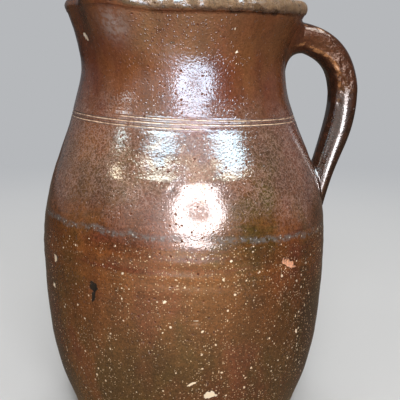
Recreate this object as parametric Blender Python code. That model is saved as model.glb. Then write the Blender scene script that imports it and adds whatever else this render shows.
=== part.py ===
"""Stoneware pitcher, thrown on the wheel, with a pulled loop handle.

The body is one turned wall from the foot to the rolled rim, drawn out into a pouring lip.
The handle is a loft of oval sections along a bent path, trimmed to the wall at both ends.
A fillet of luting clay closes the corner round each of its two roots.

Metres, +Z up. The origin is the middle of the foot, on the turning axis. The handle stands
out along +X, and angles round the body are counted from it, anticlockwise seen from above.
"""

import math

import bmesh
import bpy
import numpy as np

# Turned wall: outer radius at five heights, the upper one measured down from the rim
HEIGHT = 0.2600
HEEL_RADIUS = 0.0726
LOW_WALL_HEIGHT = 0.0100
LOW_WALL_RADIUS = 0.0771
BELLY_HEIGHT = 0.0870
BELLY_RADIUS = 0.0910
SHOULDER_HEIGHT = 0.1430
SHOULDER_RADIUS = 0.0877
NECK_DROP = 0.0330
NECK_RADIUS = 0.0656

# Foot and inside
FOOT_INSET = 0.0030
HEEL_ROUND = 0.0040
WALL = 0.0070
FLOOR = 0.0090
INSIDE_CORNER = 0.0120

# Rolled rim, an oval in section that starts on the wall at the undercut angle
RIM_RADIUS = 0.0763
RIM_THICKNESS = 0.0078
RIM_DEPTH = 0.0094
UNDERCUT = math.radians(60)

# Pouring lip, pulled out of the neck between two pinches
LIP_AZIMUTH = math.radians(225)
LIP_HALF_ANGLE = math.radians(25)
LIP_REACH = 0.0090
LIP_RISE = 0.0045
LIP_THROAT = 0.0400
LIP_PINCH = 0.0020

# Path of the handle, in the XZ plane: level out of the neck, round the grip, down into the wall.
# The grip stands off the belly, and the eases are shares of the drops above and below the grip.
ROOT_DROP = 0.0214
GRIP_STANDOFF = 0.0140
GRIP_DROP = 0.0593
TAIL_END_HEIGHT = 0.0980
TAIL_ANGLE = math.radians(10.5)
GRIP_EASE_ABOVE = 0.13
GRIP_EASE_BELOW = 0.28
TAIL_EASE = 0.62

# Section of the handle at the root, the grip and the tail: an egg, widest towards its outer face
ROOT_THICKNESS = 0.0186
ROOT_WIDTH = 0.0300
GRIP_THICKNESS = 0.0176
GRIP_WIDTH = 0.0250
TAIL_THICKNESS = 0.0127
TAIL_WIDTH = 0.0260
SECTION_FULLNESS = 2.3
SECTION_EGG = 0.28

# Luting clay: how far each fillet reaches over the wall and the handle, and its edge
UPPER_FILLET_TOP = 0.0022
UPPER_FILLET_UNDER = 0.0170
LOWER_FILLET_TIP = 0.0025
LOWER_FILLET_CORNER = 0.0050
FILLET_EDGE = 0.0006
SEAT_GAP = 0.0003

# Facets
SEGMENTS = 72
WALL_STEPS = 26
INSIDE_STEPS = 18
RIM_STEPS = 8
ROUND_STEPS = 3
HANDLE_RINGS = 40
HANDLE_SIDES = 24
CAP_RINGS = 3
FILLET_STEPS = 6
BISECTIONS = 40
SMALL_T = 1e-4
MERGE = 1e-6
SHARP_ANGLE = math.radians(40)

# Glaze colours, linear
BODY_BROWN = (0.145, 0.055, 0.022)
HANDLE_BROWN = (0.060, 0.024, 0.012)
JOINT_BROWN = (0.090, 0.035, 0.016)
GLAZE_ROUGHNESS = 0.25


def natural_spline(knots, values, at):
    """Cubic through the knots whose curvature is nil at both ends."""
    step = np.diff(knots)
    slope = np.diff(values) / step
    bend = np.zeros(len(knots))
    matrix = np.diag(2 * (step[:-1] + step[1:])) + np.diag(step[1:-1], 1) + np.diag(step[1:-1], -1)
    bend[1:-1] = np.linalg.solve(matrix, 6 * np.diff(slope))
    i = np.clip(np.searchsorted(knots, at) - 1, 0, len(step) - 1)
    left, right, h = at - knots[i], knots[i + 1] - at, step[i]
    cubic = (bend[i] * right**3 + bend[i + 1] * left**3) / (6 * h)
    straight = (values[i] / h - bend[i] * h / 6) * right + (values[i + 1] / h - bend[i + 1] * h / 6) * left
    return cubic + straight


# Rim section and the wall line that runs up to its underside
RIM_CENTRE = np.array([RIM_RADIUS - RIM_THICKNESS / 2, HEIGHT - RIM_DEPTH / 2])
RIM_HALF = np.array([RIM_THICKNESS / 2, RIM_DEPTH / 2])
RIM_START = RIM_CENTRE + RIM_HALF * (math.cos(UNDERCUT), -math.sin(UNDERCUT))
STATIONS = np.array(
    [
        (0.0, HEEL_RADIUS),
        (LOW_WALL_HEIGHT, LOW_WALL_RADIUS),
        (BELLY_HEIGHT, BELLY_RADIUS),
        (SHOULDER_HEIGHT, SHOULDER_RADIUS),
        (HEIGHT - NECK_DROP, NECK_RADIUS),
        (RIM_START[1], RIM_START[0]),
    ]
)
WALL_Z = np.linspace(HEEL_ROUND, RIM_START[1], WALL_STEPS + 1)
WALL_R = natural_spline(STATIONS[:, 0], STATIONS[:, 1], WALL_Z)


def wall_radius(z):
    """Outer radius of the faceted wall at a height."""
    return np.interp(z, WALL_Z, WALL_R)


def arc(centre, half, start, end, steps):
    """Points on an oval from one angle to another, both ends included."""
    angle = np.linspace(start, end, steps + 1)
    return centre + np.column_stack([half[0] * np.cos(angle), half[1] * np.sin(angle)])


def body_profile():
    """Radius and height along the half section: foot, wall, rim, inside and floor."""
    foot_radius = WALL_R[0] - FOOT_INSET
    heel_half = (FOOT_INSET, HEEL_ROUND)
    heel = arc((foot_radius, HEEL_ROUND), heel_half, -math.pi / 2, 0, ROUND_STEPS)
    outside = np.column_stack([WALL_R, WALL_Z])
    rim = arc(RIM_CENTRE, RIM_HALF, -UNDERCUT, math.pi, RIM_STEPS)
    inside_z = np.linspace(RIM_START[1], FLOOR + INSIDE_CORNER, INSIDE_STEPS + 1)
    inside = np.column_stack([wall_radius(inside_z) - WALL, inside_z])
    corner_centre = inside[-1] - (INSIDE_CORNER, 0)
    corner_half = (INSIDE_CORNER, INSIDE_CORNER)
    corner = arc(corner_centre, corner_half, 0, -math.pi / 2, ROUND_STEPS)
    runs = [[(0, 0)], heel[:-1], outside, rim[1:], inside, corner[1:], [(0, FLOOR)]]
    return np.vstack(runs)


def pull_lip(vertex):
    """Moves a point of the neck out and up under the lip, and in at the pinch on each side."""
    radius = math.hypot(vertex.co.x, vertex.co.y)
    rise = (vertex.co.z - (HEIGHT - LIP_THROAT)) / LIP_THROAT
    azimuth = math.atan2(vertex.co.y, vertex.co.x)
    turn = math.remainder(azimuth - LIP_AZIMUTH, 2 * math.pi) / LIP_HALF_ANGLE
    if rise <= 0 or abs(turn) >= 2:
        return
    lift = rise**2 * (3 - 2 * min(rise, 1))
    crest = math.cos(math.pi / 2 * min(abs(turn), 1)) ** 2
    pinch = math.sin(math.pi / 2 * abs(turn)) ** 2 * (1 - crest)
    new_radius = radius + lift * (LIP_REACH * crest - LIP_PINCH * pinch)
    vertex.co.x *= new_radius / radius
    vertex.co.y *= new_radius / radius
    vertex.co.z += LIP_RISE * crest * lift


def bezier(a, b, c, d, t):
    """Cubic curve from a to d, drawn towards b and c."""
    t = t[..., None]
    return a * (1 - t) ** 3 + 3 * b * t * (1 - t) ** 2 + 3 * c * t**2 * (1 - t) + d * t**3


def handle_path(t):
    """Radius and height of the handle's middle line; t runs 0 to 1 from the neck to the tail.

    Both ends lie inside the wall, so that every line of the loft crosses its outer face.
    """
    root_z, grip_z = HEIGHT - ROOT_DROP, HEIGHT - GRIP_DROP
    grip_reach = BELLY_RADIUS + GRIP_STANDOFF
    root = np.array([wall_radius(root_z) - WALL, root_z])
    corner = np.array([grip_reach, root_z])
    grip = np.array([grip_reach, grip_z])
    tail = np.array([wall_radius(TAIL_END_HEIGHT) - TAIL_THICKNESS, TAIL_END_HEIGHT])
    above, below = root_z - grip_z, grip_z - TAIL_END_HEIGHT
    up = np.array([0.0, 1.0])
    back = np.array([math.sin(TAIL_ANGLE), math.cos(TAIL_ANGLE)])
    upper = (root, corner, grip + GRIP_EASE_ABOVE * above * up, grip)
    lower = (grip, grip - GRIP_EASE_BELOW * below * up, tail + TAIL_EASE * below * back, tail)
    over = bezier(*upper, np.clip(2 * t, 0, 1))
    down = bezier(*lower, np.clip(2 * t - 1, 0, 1))
    return np.where(t[..., None] < 0.5, over, down)


def along(root, grip, tail, t):
    """A size that eases from its value at the root to the grip, then to the tail."""
    first, second = np.clip(2 * t, 0, 1), np.clip(2 * t - 1, 0, 1)
    ease_first, ease_second = first**2 * (3 - 2 * first), second**2 * (3 - 2 * second)
    return root + (grip - root) * ease_first + (tail - grip) * ease_second


def handle_point(t, phi):
    """Point on the handle's surface: phi turns from its outer face towards +Y."""
    centre = handle_path(t)
    run = handle_path(np.clip(t + SMALL_T, 0, 1)) - handle_path(np.clip(t - SMALL_T, 0, 1))
    run /= np.linalg.norm(run, axis=-1, keepdims=True)
    thickness = along(ROOT_THICKNESS, GRIP_THICKNESS, TAIL_THICKNESS, t)
    width = along(ROOT_WIDTH, GRIP_WIDTH, TAIL_WIDTH, t)
    power = 2 / SECTION_FULLNESS
    oval = np.sign(np.cos(phi)) * np.abs(np.cos(phi)) ** power
    off = thickness / 2 * (oval + SECTION_EGG * np.sin(phi) ** 2)
    side = width / 2 * np.sign(np.sin(phi)) * np.abs(np.sin(phi)) ** power
    return np.stack([centre[..., 0] - run[..., 1] * off, side, centre[..., 1] + run[..., 0] * off], axis=-1)


def handle_normal(t, phi):
    """Outward normal of the handle's surface."""
    along_t = handle_point(t + SMALL_T, phi) - handle_point(t - SMALL_T, phi)
    along_phi = handle_point(t, phi + SMALL_T) - handle_point(t, phi - SMALL_T)
    normal = np.cross(along_t, along_phi)
    return normal / np.linalg.norm(normal, axis=-1, keepdims=True)


def trim(inside, outside, phi):
    """The t at which each line of the loft leaves the wall, one seat gap clear of it."""
    low, high = np.full_like(phi, inside), np.full_like(phi, outside)
    for _ in range(BISECTIONS):
        middle = (low + high) / 2
        point = handle_point(middle, phi)
        clear = np.hypot(point[:, 0], point[:, 1]) - wall_radius(point[:, 2]) > SEAT_GAP
        high = np.where(clear, middle, high)
        low = np.where(clear, low, middle)
    return high


def on_wall(azimuth, z, gap):
    """Points a gap off the outer face of the wall."""
    radius = wall_radius(z) + gap
    return np.stack([radius * np.cos(azimuth), radius * np.sin(azimuth), z], axis=-1)


def seat(ring):
    """Rings that shrink over the wall from the handle's edge to the middle of its root."""
    azimuth, z = np.arctan2(ring[:, 1], ring[:, 0]), ring[:, 2]
    middle = z.mean()
    shares = 1 - np.arange(1, CAP_RINGS + 1) / CAP_RINGS
    return [on_wall(share * azimuth, middle + share * (z - middle), SEAT_GAP) for share in shares]


PHI = np.linspace(0, 2 * math.pi, HANDLE_SIDES, endpoint=False)
ROOT_T = trim(0.0, 0.5, PHI)
TAIL_T = trim(1.0, 0.5, PHI)


def fillet_loop(edge_t, inwards, reach_outer, reach_inner):
    """Rings of a luting fillet: up the handle's flank, down the hollow face, back on the wall.

    edge_t is the handle's edge on the wall, and inwards is the sign of t towards the grip.
    The reach goes from the handle's outer face to its inner face.
    """
    reach = reach_inner + (reach_outer - reach_inner) * (1 + np.cos(PHI)) / 2
    edge = handle_point(edge_t, PHI)
    azimuth, z = np.arctan2(edge[:, 1], edge[:, 0]), edge[:, 2]
    flat = np.stack([wall_radius(z) * azimuth, z], axis=-1)
    run = np.roll(flat, -1, axis=0) - np.roll(flat, 1, axis=0)
    outwards = np.stack([run[:, 1], -run[:, 0]], axis=-1)
    outwards /= np.linalg.norm(outwards, axis=-1, keepdims=True)
    outwards *= np.sign(np.sum(outwards * (flat - flat.mean(axis=0)), axis=-1, keepdims=True))

    def wall_ring(distance, gap):
        spread = flat + outwards * distance[:, None]
        return on_wall(spread[:, 0] / wall_radius(spread[:, 1]), spread[:, 1], gap)

    step = handle_point(edge_t + inwards * SMALL_T, PHI) - edge
    climb = inwards * reach * SMALL_T / np.linalg.norm(step, axis=-1)

    def flank_ring(share, gap):
        t = edge_t + share * climb
        return handle_point(t, PHI) + gap * handle_normal(t, PHI)

    shares = np.linspace(0, 1, FILLET_STEPS + 1)
    corner_distance = np.full_like(reach, 2 * SEAT_GAP)
    flank = [wall_ring(corner_distance, SEAT_GAP)] + [flank_ring(share, SEAT_GAP) for share in shares[1:]]
    top = flank_ring(1.0, SEAT_GAP + FILLET_EDGE)
    toe = wall_ring(corner_distance + reach, SEAT_GAP + FILLET_EDGE)
    bend = wall_ring(corner_distance + FILLET_EDGE, SEAT_GAP + FILLET_EDGE)
    hollow = [top * (1 - s) ** 2 + bend * 2 * s * (1 - s) + toe * s**2 for s in shares]
    wall = [wall_ring(corner_distance + share * reach, SEAT_GAP) for share in shares[:0:-1]]
    return flank + hollow + wall


def rings_mesh(rings, closed):
    """Skin over rings of equal count, closed into a loop or ended on the first and last ring."""
    bm = bmesh.new()
    made = [[bm.verts.new(point) for point in ring] for ring in rings]
    following = made[1:] + made[:1] if closed else made[1:]
    for ring, other in zip(made, following):
        for i in range(len(ring)):
            j = (i + 1) % len(ring)
            bm.faces.new((ring[i], ring[j], other[j], other[i]))
    bmesh.ops.remove_doubles(bm, verts=bm.verts, dist=MERGE)
    return bm


def add_object(name, bm, colour):
    """A named, smooth object with its own glaze, from a closed mesh."""
    bmesh.ops.recalc_face_normals(bm, faces=bm.faces)
    mesh = bpy.data.meshes.new(name)
    bm.to_mesh(mesh)
    bm.free()
    mesh.shade_smooth()
    mesh.set_sharp_from_angle(angle=SHARP_ANGLE)
    glaze = bpy.data.materials.new(name + "_glaze")
    glaze.use_nodes = True
    shader = glaze.node_tree.nodes["Principled BSDF"]
    shader.inputs["Base Color"].default_value = (*colour, 1)
    shader.inputs["Roughness"].default_value = GLAZE_ROUGHNESS
    shader.inputs["Metallic"].default_value = 0
    mesh.materials.append(glaze)
    piece = bpy.data.objects.new(name, mesh)
    bpy.context.scene.collection.objects.link(piece)
    piece.parent = pitcher


def thrown_body():
    bm = bmesh.new()
    line = [bm.verts.new((radius, 0, z)) for radius, z in body_profile()]
    edges = [bm.edges.new(pair) for pair in zip(line, line[1:])]
    bmesh.ops.spin(
        bm, geom=line + edges, axis=(0, 0, 1), cent=(0, 0, 0), angle=2 * math.pi, steps=SEGMENTS
    )
    bmesh.ops.remove_doubles(bm, verts=bm.verts, dist=MERGE)
    for vertex in bm.verts:
        pull_lip(vertex)
    add_object("thrown_body", bm, BODY_BROWN)


def pulled_handle():
    shares = np.linspace(0, 1, HANDLE_RINGS + 1)
    rings = [handle_point(ROOT_T + share * (TAIL_T - ROOT_T), PHI) for share in shares]
    rings = seat(rings[0])[::-1] + rings + seat(rings[-1])
    add_object("pulled_handle", rings_mesh(rings, closed=False), HANDLE_BROWN)


def joint_clay():
    upper = fillet_loop(ROOT_T, 1, UPPER_FILLET_TOP, UPPER_FILLET_UNDER)
    add_object("upper_joint_clay", rings_mesh(upper, closed=True), JOINT_BROWN)
    lower = fillet_loop(TAIL_T, -1, LOWER_FILLET_TIP, LOWER_FILLET_CORNER)
    add_object("lower_joint_clay", rings_mesh(lower, closed=True), JOINT_BROWN)


for old in list(bpy.data.objects):
    bpy.data.objects.remove(old, do_unlink=True)
pitcher = bpy.data.objects.new("pitcher", None)
bpy.context.scene.collection.objects.link(pitcher)
thrown_body()
pulled_handle()
joint_clay()
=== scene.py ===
"""Dressed stoneware pitcher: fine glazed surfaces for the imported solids, a floor, lamps and a camera.

Metres, +Z up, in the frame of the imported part. The handle stands out along +X, and angles round the
pitcher are counted from it, anticlockwise seen from above. The camera stands at the front.
"""

import math

import bpy
import numpy as np
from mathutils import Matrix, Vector


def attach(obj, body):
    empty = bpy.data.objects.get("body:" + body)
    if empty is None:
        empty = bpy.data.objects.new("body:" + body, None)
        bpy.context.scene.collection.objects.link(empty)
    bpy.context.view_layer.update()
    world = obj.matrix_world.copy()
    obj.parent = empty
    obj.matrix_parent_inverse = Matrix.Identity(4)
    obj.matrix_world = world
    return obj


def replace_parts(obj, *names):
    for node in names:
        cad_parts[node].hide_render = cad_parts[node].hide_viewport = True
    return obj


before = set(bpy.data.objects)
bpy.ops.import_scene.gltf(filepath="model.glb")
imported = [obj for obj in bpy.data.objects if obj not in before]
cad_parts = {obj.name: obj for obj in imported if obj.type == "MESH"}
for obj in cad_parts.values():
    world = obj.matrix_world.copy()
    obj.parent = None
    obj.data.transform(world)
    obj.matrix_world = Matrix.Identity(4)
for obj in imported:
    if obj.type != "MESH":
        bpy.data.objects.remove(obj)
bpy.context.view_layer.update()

# Turned wall and rim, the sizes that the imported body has
HEIGHT = 0.2600
HEEL_RADIUS = 0.0726
LOW_WALL_HEIGHT = 0.0100
LOW_WALL_RADIUS = 0.0771
BELLY_HEIGHT = 0.0870
BELLY_RADIUS = 0.0910
SHOULDER_HEIGHT = 0.1430
SHOULDER_RADIUS = 0.0877
NECK_DROP = 0.0330
NECK_RADIUS = 0.0656
FOOT_INSET = 0.0030
HEEL_ROUND = 0.0040
WALL = 0.0070
FLOOR = 0.0090
INSIDE_CORNER = 0.0120
RIM_RADIUS = 0.0763
RIM_THICKNESS = 0.0078
RIM_DEPTH = 0.0094
UNDERCUT = math.radians(60)

# Pouring lip
LIP_AZIMUTH = math.radians(225)
LIP_HALF_ANGLE = math.radians(25)
LIP_REACH = 0.0090
LIP_RISE = 0.0045
LIP_THROAT = 0.0400
LIP_PINCH = 0.0020

# Handle path and sections
ROOT_DROP = 0.0214
GRIP_REACH = 0.1050
GRIP_DROP = 0.0593
TAIL_END_HEIGHT = 0.0980
TAIL_ANGLE = math.radians(10.5)
GRIP_EASE_ABOVE = 0.13
GRIP_EASE_BELOW = 0.28
TAIL_EASE = 0.62
ROOT_THICKNESS = 0.0186
ROOT_WIDTH = 0.0300
GRIP_THICKNESS = 0.0176
GRIP_WIDTH = 0.0250
TAIL_THICKNESS = 0.0127
TAIL_WIDTH = 0.0260
SECTION_FULLNESS = 2.3
SECTION_EGG = 0.28

# Marks along the handle: places, as turns from its outer face or shares of its length, and reach
UPPER_END = (0.50, -0.16)
UPPER_START = (0.05, 0.05)
INNER_RIDGE = (2.45, 0.16)
INNER_RIDGE_RISE = 0.0005
INNER_STROKE = (2.2, 0.15)
OUTER_STROKE = (1.05, 0.14)
OUTER_STROKE_END = (0.20, -0.07)
STROKE_VALLEY = (1.62, 0.26)
STROKE_WANDER = 0.10
STROKE_WANDER_RATE = 17
STROKE_RISE = 0.0005
WRINKLES = (2.1, 0.28)
WRINKLES_START = (0.2, 0.06)
NICK_ALONG = (0.535, 0.014)
NICK_TURN = -2.25
NICK_HALF_TURN = 0.08
NICK_DEPTH = 0.0006
SLOW_LUMP = 0.00022
QUICK_LUMP = 0.0001

# Luting clay: its reach on the handle's outer and inner face, its thin edge and its hidden back
UPPER_FILLET = (0.0030, 0.0170)
LOWER_FILLET = (0.0035, 0.0070)
FILLET_UNEVEN = 0.12
FEATHER = 0.00012
FILLET_BACK = 0.0009
JOINT_STROKE_HALF = 0.18
SEAT_DEPTH = 0.0012

# Side that faces the camera
FRONT = math.radians(263)

# Incised spiral
SPIRAL_TOP = 0.1914
SPIRAL_PITCH = 0.00253
SPIRAL_LEAN = 0.0025
SPIRAL_LEAN_AZIMUTH = math.radians(271)
SPIRAL_LEAN_REACH = 0.0220
SPIRAL_START = math.radians(226)
SPIRAL_TURNS = 2.14
SPIRAL_FADE = 0.15
SPIRAL_DEPTH = 0.00040
SPIRAL_HALF_WIDTH = 0.00034
SPIRAL_BURR = 0.00007
BURR_PLACE = (2.1, 0.8)
BAND_BELOW = 0.0105
BAND_ABOVE = 0.0030

# Throwing rings outside and inside, and what else the hand left uneven
RING_PITCH = 0.0085
RING_LEAN_SHARE = 0.6
RING_DEPTH = 0.00003
RING_EXTRA = 0.00011
RING_EXTRA_PLACE = (0.107, 0.016)
RING_UNEVEN = 0.3
RING_UNEVEN_LENGTH = 0.03
OVERTONE = (0.35, 2.7, 1.3)
SHOULDER_RIDGE = (0.1572, 0.0026)
SHOULDER_RIDGE_RISE = 0.00018
INSIDE_RING_PITCH = 0.0110
INSIDE_RING_DEPTH = 0.00035
INSIDE_RING_START = 0.05
WALL_LUMP = 0.00012
WALL_LUMP_LENGTH = 0.02
RIM_LUMP = 0.00015
RIM_LUMP_LENGTH = 0.01
RIM_LEAN = 0.0012
RIM_LEAN_DEPTH = 0.0300
RIM_SHIFT = 0.0021
RIM_SHIFT_DEPTH = 0.0370
RIM_SHIFT_AZIMUTH = math.radians(353)
SHIFT_REACH = 0.0300
PRESS_AZIMUTH = math.radians(205)
PRESS_ANGLE = math.radians(36)
SWELL_HEIGHT = 0.1745
SWELL_DEPTH = 0.00050
SWELL_HALF = 0.0100
SWELL_ANGLE = math.radians(50)

# Where the glaze changes: the slip line, the rim's wear, a painted sheen under the lip, the painted
# shade side and the specks
GLAZE_LINE_HEIGHT = 0.1246
GLAZE_LINE_LEAN = 0.0057
GLAZE_LINE_AZIMUTH = math.radians(284)
GLAZE_LINE_WAVER = 0.0006
RIM_WEAR_HEIGHT = 0.2526
RIM_WEAR_LEAN = 0.0016
UNWORN_AZIMUTH = math.radians(206)
UNWORN_EDGE = (math.radians(32), -math.radians(10))
UNWORN_RISE = 0.0052
# Pale grey patch under the lip, a painted sheen in place of a reflection on its bulge: where it lies
LIP_SHEEN_AZIMUTH = (math.radians(230), 0.11)
LIP_SHEEN_HEIGHT = (0.2420, 0.0070)
SHADE_AZIMUTH = math.radians(318)
SPECK_AZIMUTH = math.radians(300)
SPECKS_FROM = (GLAZE_LINE_HEIGHT + 0.006, -0.014)
SPECK_CROWD = 0.96
SPECK_SWING = 0.16

# Uneven wall: azimuth in degrees, height, half angle in degrees, half height, how far out
HAND_LUMPS = [(186, 0.1970, 45, 0.0160, 0.0014), (186, 0.1400, 45, 0.0220, -0.0009)]

# Marks on the wall: azimuth in degrees, height, half width, half height, turn in degrees
CLAY_CHIPS = [(305.2, 0.1067, 0.0068, 0.0022, -30)]
PALE_CHIPS_AND_GLINT = [
    (272.8, 0.0315, 0.0030, 0.0026, 20),
    (204.0, 0.1055, 0.0022, 0.0026, 15),
    (200.9, 0.0870, 0.0020, 0.0019, 15),
    (202.8, 0.2376, 0.0043, 0.0016, -27),
    (265.9, 0.0396, 0.0034, 0.0009, 24),
    # Not a chip: a pale dash in the dimple at this place, a painted glint
    (267.4, 0.0791, 0.0020, 0.0006, -12),
    (290.4, 0.2291, 0.0012, 0.0011, 0),
    (286.4, 0.2419, 0.0010, 0.0010, 0),
    (312.8, 0.0614, 0.0013, 0.0017, 10),
    (256.0, 0.0907, 0.0012, 0.0013, 0),
    (279.9, 0.1133, 0.0010, 0.0012, 0),
]
DIMPLES = [(267.1, 0.0788, 0.0024, 0.0015, -8)]
SOOT_MARKS = [(228.0, 0.0955, 0.0030, 0.0034, -20), (227.5, 0.0895, 0.0014, 0.0050, -18)]
DARK_CHIPS = [
    (285.0, 0.2514, 0.0056, 0.0013, 0),
    (306.1, 0.2508, 0.0028, 0.0016, 0),
    (258.6, 0.1537, 0.0022, 0.0014, 20),
    (257.0, 0.2342, 0.0018, 0.0012, -20),
]
CHIP_DEPTH = 0.0007
SMALL_CHIP_DEPTH = 0.0004
FAR = 9.0

# Rows and columns of the grids
COLUMNS = 300
FOOT_ROWS = 13
CORNER_ROWS = 8
LOW_WALL_ROWS = 108
BAND_ROWS = 52
NECK_ROWS = 34
RIM_ROWS = 30
INSIDE_ROWS = 62
FLOOR_ROWS = 12
HANDLE_SIDES = 72
HANDLE_RINGS = 220
CAP_RINGS = 4
FILLET_STEPS = 14
BISECTIONS = 40
SMALL_T = 1e-4

# Camera, as it stood for the photograph
CAMERA_DISTANCE = 0.5503
CAMERA_HEIGHT = 0.2386
CAMERA_PITCH = math.radians(10.99)
CAMERA_AIM = math.radians(1.1)
CAMERA_LENS = 76.5
CAMERA_SENSOR = 36.0
CAMERA_NEAR = 0.01


def srgb(red, green, blue):
    """A colour as a screen shows it, 0 to 255, turned into linear light."""
    share = np.array([red, green, blue]) / 255
    return tuple(np.where(share <= 0.04045, share / 12.92, ((share + 0.055) / 1.055) ** 2.4))


RIM_CENTRE = np.array([RIM_RADIUS - RIM_THICKNESS / 2, HEIGHT - RIM_DEPTH / 2])
RIM_HALF = np.array([RIM_THICKNESS / 2, RIM_DEPTH / 2])
RIM_START = RIM_CENTRE + RIM_HALF * (math.cos(UNDERCUT), -math.sin(UNDERCUT))
STATIONS = np.array(
    [
        (0.0, HEEL_RADIUS),
        (LOW_WALL_HEIGHT, LOW_WALL_RADIUS),
        (BELLY_HEIGHT, BELLY_RADIUS),
        (SHOULDER_HEIGHT, SHOULDER_RADIUS),
        (HEIGHT - NECK_DROP, NECK_RADIUS),
        (RIM_START[1], RIM_START[0]),
    ]
)


def wall_radius(z):
    """Outer radius of the turned wall at a height: a cubic spline through the stations.

    Its curvature is nil at both ends.
    """
    knots, values = STATIONS.T
    step = np.diff(knots)
    slope = np.diff(values) / step
    bend = np.zeros(len(knots))
    matrix = np.diag(2 * (step[:-1] + step[1:])) + np.diag(step[1:-1], 1) + np.diag(step[1:-1], -1)
    bend[1:-1] = np.linalg.solve(matrix, 6 * np.diff(slope))
    i = np.clip(np.searchsorted(knots, z) - 1, 0, len(step) - 1)
    left, right, h = z - knots[i], knots[i + 1] - z, step[i]
    cubic = (bend[i] * right**3 + bend[i + 1] * left**3) / (6 * h)
    start, end = values[i] / h - bend[i] * h / 6, values[i + 1] / h - bend[i + 1] * h / 6
    return cubic + (start * right + end * left)


def ease(x, start=0.0, length=1.0):
    """Rises smoothly from 0 to 1 over a length from the start, backwards if that is negative."""
    x = np.clip((x - start) / length, 0, 1)
    return x * x * (3 - 2 * x)


def hump(x, middle=0.0, half=1.0):
    """Bell of height 1 about its middle, with about this half width."""
    return np.exp(-(((x - middle) / half) ** 2))


def turn_from(angle, middle=0.0):
    """Angle counted from a direction, the short way round, -pi to pi."""
    return np.angle(np.exp(1j * (angle - middle)))


def waves(seed, first, second, low=1, high=7, count=14):
    """Soft lumps: a sum of cosines of two angles with whole wave numbers, about 1 high."""
    draw = np.random.default_rng(seed)
    total = 0
    for _ in range(count):
        a, b = draw.integers(low, high, 2)
        side, start = draw.choice((-1, 1)), draw.uniform(0, math.tau)
        total = total + np.cos(a * first + side * b * second + start)
    return total / math.sqrt(count)


def mark_distance(marks, azimuth, z):
    """Distance to the nearest mark in units of its half sizes: 0 in its middle and 1 on its edge."""
    nearest = np.full(np.broadcast(azimuth, z).shape, FAR)
    for degrees, height, half_width, half_height, turn in marks:
        across = turn_from(azimuth, math.radians(degrees)) * wall_radius(height)
        up = z - height
        c, s = math.cos(math.radians(turn)), math.sin(math.radians(turn))
        along_mark, over = across * c + up * s, up * c - across * s
        nearest = np.minimum(nearest, np.hypot(along_mark / half_width, over / half_height))
    return nearest


def add_object(name, data):
    """Object with this data in the scene, at the origin."""
    made = bpy.data.objects.new(name, data)
    bpy.context.scene.collection.objects.link(made)
    return made


def add_mesh(name, vertices, faces):
    """Mesh object in the scene."""
    mesh = bpy.data.meshes.new(name)
    mesh.from_pydata(vertices.tolist(), [], faces)
    return add_object(name, mesh)


def add_field(mesh, name, values):
    """A named number on each point of a mesh, for its material."""
    field = mesh.attributes.new(name, "FLOAT", "POINT")
    field.data.foreach_set("value", values.astype(np.float32))


def add_piece(name, points, poles, fields):
    """Mesh object over a grid of points, whose columns close round.

    The rows end in two poles with a fan of triangles each or, without poles, close into a loop.
    Fields are named numbers on the points, in the order rows, columns, then poles.
    """
    rows, columns = points.shape[:2]
    index = np.arange(rows * columns).reshape(rows, columns)
    beside = np.roll(index, -1, axis=1)
    above, above_beside = np.roll(index, -1, axis=0), np.roll(beside, -1, axis=0)
    kept = slice(None) if poles is None else slice(0, rows - 1)
    quads = np.stack([index[kept], beside[kept], above_beside[kept], above[kept]], axis=-1)
    vertices, faces = points.reshape(-1, 3), quads.reshape(-1, 4).tolist()
    if poles is not None:
        first, last = len(vertices), len(vertices) + 1
        vertices = np.vstack([vertices, poles])
        faces += np.stack([beside[0], index[0], np.full(columns, first)], axis=-1).tolist()
        faces += np.stack([index[-1], beside[-1], np.full(columns, last)], axis=-1).tolist()
    piece = add_mesh(name, vertices, faces)
    for field, values in fields.items():
        values = np.broadcast_to(values, (rows, columns)).ravel()
        if poles is not None:
            values = np.append(values, (values[0], values[-1]))
        add_field(piece.data, field, values)
    piece.data.shade_smooth()
    piece.data.validate()
    return piece


def arc(centre, half, start, end, steps):
    """Points on an oval from one angle to another, both ends included."""
    angle = np.linspace(start, end, steps + 1)
    return centre + np.column_stack([half[0] * np.cos(angle), half[1] * np.sin(angle)])


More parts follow.
